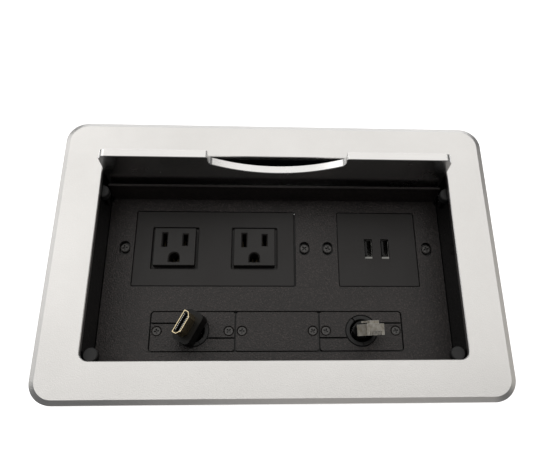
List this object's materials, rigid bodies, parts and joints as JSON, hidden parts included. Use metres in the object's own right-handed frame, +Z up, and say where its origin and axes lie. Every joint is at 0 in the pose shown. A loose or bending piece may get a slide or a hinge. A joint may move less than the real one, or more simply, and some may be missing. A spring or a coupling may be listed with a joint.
{
  "type": "conference table connection box",
  "caption": "Flush table connection box with drop-down aluminium lid, mains outlets, USB charger and pull-up HDMI and network leads.",
  "frame": {"origin": "centre of the table cut-out, on the table top, which is the plane of the rim's underside", "axes": "+X to the right along the long side, +Y to the side where the lid is stored, +Z up out of the table"},
  "size_m": [0.27, 0.172, 0.3115],
  "materials": {
    "aluminium_bead": "bead-blasted clear anodised",
    "aluminium_satin": "satin clear anodised",
    "steel_zinc": "zinc plated",
    "black_gloss_paint": "gloss black paint",
    "black_powder_coat": "textured black powder coat",
    "dark_rubber": "matt dark rubber",
    "black_faceplate": "smooth matt black",
    "black_insert": "smooth satin black",
    "brass_contact": "stamped brass",
    "gilt_contact": "gold-plated blades",
    "black_plastic": "moulded black",
    "bright_nickel": "nickel plated shell",
    "gilt_shell": "gold-plated shell",
    "green_board": "solder-masked board",
    "black_screw": "black oxide",
    "wire_sleeve": "insulated wire",
    "cord_jacket": "matt cord jacket",
    "clear_plastic": "clear polycarbonate"
  },
  "bodies": {
    "box": {"bezel": "aluminium_bead", "bezel_screws": "steel_zinc", "cover_screws": "steel_zinc", "side_screws": "steel_zinc", "clamp_rods": "steel_zinc", "box_shell": "black_gloss_paint", "bottom_cover": "black_gloss_paint", "slot_covers": "black_gloss_paint", "deck_panel": "black_powder_coat", "row_frame": "black_gloss_paint", "outlet_yoke": "black_gloss_paint", "usb_yoke": "black_gloss_paint", "pad_brackets": "black_gloss_paint", "post_pads": "dark_rubber", "cable_bushings": "dark_rubber", "hdmi_grommet": "dark_rubber", "network_grommet": "dark_rubber", "outlet_faceplate": "black_faceplate", "usb_faceplate": "black_faceplate", "hdmi_plate_rear": "black_powder_coat", "hdmi_plate_front": "black_powder_coat", "blank_plate": "black_powder_coat", "network_plate_rear": "black_powder_coat", "network_plate_front": "black_powder_coat", "outlet_insert_left": "black_insert", "outlet_insert_right": "black_insert", "outlet_contacts": "brass_contact", "inlet_pins": "brass_contact", "outlet_housing": "black_plastic", "usb_housing": "black_plastic", "power_inlet": "black_plastic", "usb_tongues": "black_plastic", "usb_shells": "bright_nickel", "usb_board": "green_board", "module_screws": "black_screw", "plate_screws": "black_screw", "inner_wires": "wire_sleeve"},
    "lid": {"lid_panel": "aluminium_satin", "lid_brackets": "black_powder_coat", "lid_pins": "steel_zinc", "lid_bracket_screws": "steel_zinc"},
    "clamp_left": {"clamp_paw_left": "black_powder_coat", "clamp_nut_left": "steel_zinc"},
    "clamp_right": {"clamp_paw_right": "black_powder_coat", "clamp_nut_right": "steel_zinc"},
    "hdmi_lead": {"hdmi_shell": "gilt_shell", "hdmi_contacts": "black_plastic", "hdmi_overmould": "black_plastic", "hdmi_cord": "cord_jacket", "hdmi_coil": "cord_jacket", "hdmi_tie": "black_plastic", "hdmi_far_plug": "black_plastic", "hdmi_far_shell": "gilt_shell"},
    "network_lead": {"network_plug": "clear_plastic", "network_contacts": "gilt_contact", "network_boot": "black_plastic", "network_cord": "cord_jacket", "network_coil": "cord_jacket", "network_tie": "black_plastic", "network_far_plug": "clear_plastic"}
  },
  "joints": [
    {"name": "lid_slide", "type": "slide", "parent": "box", "child": "lid", "axis": [0, 0, 1], "range_m": [0, 0.083]},
    {"name": "clamp_left_slide", "type": "slide", "parent": "box", "child": "clamp_left", "axis": [0, 0, 1], "range_m": [0, 0.042]},
    {"name": "clamp_right_slide", "type": "slide", "parent": "box", "child": "clamp_right", "axis": [0, 0, 1], "range_m": [0, 0.042]},
    {"name": "hdmi_pull", "type": "slide", "parent": "box", "child": "hdmi_lead", "axis": [0, 0, 1], "range_m": [0, 0.05]},
    {"name": "network_pull", "type": "slide", "parent": "box", "child": "network_lead", "axis": [0, 0, 1], "range_m": [0, 0.05]}
  ]
}
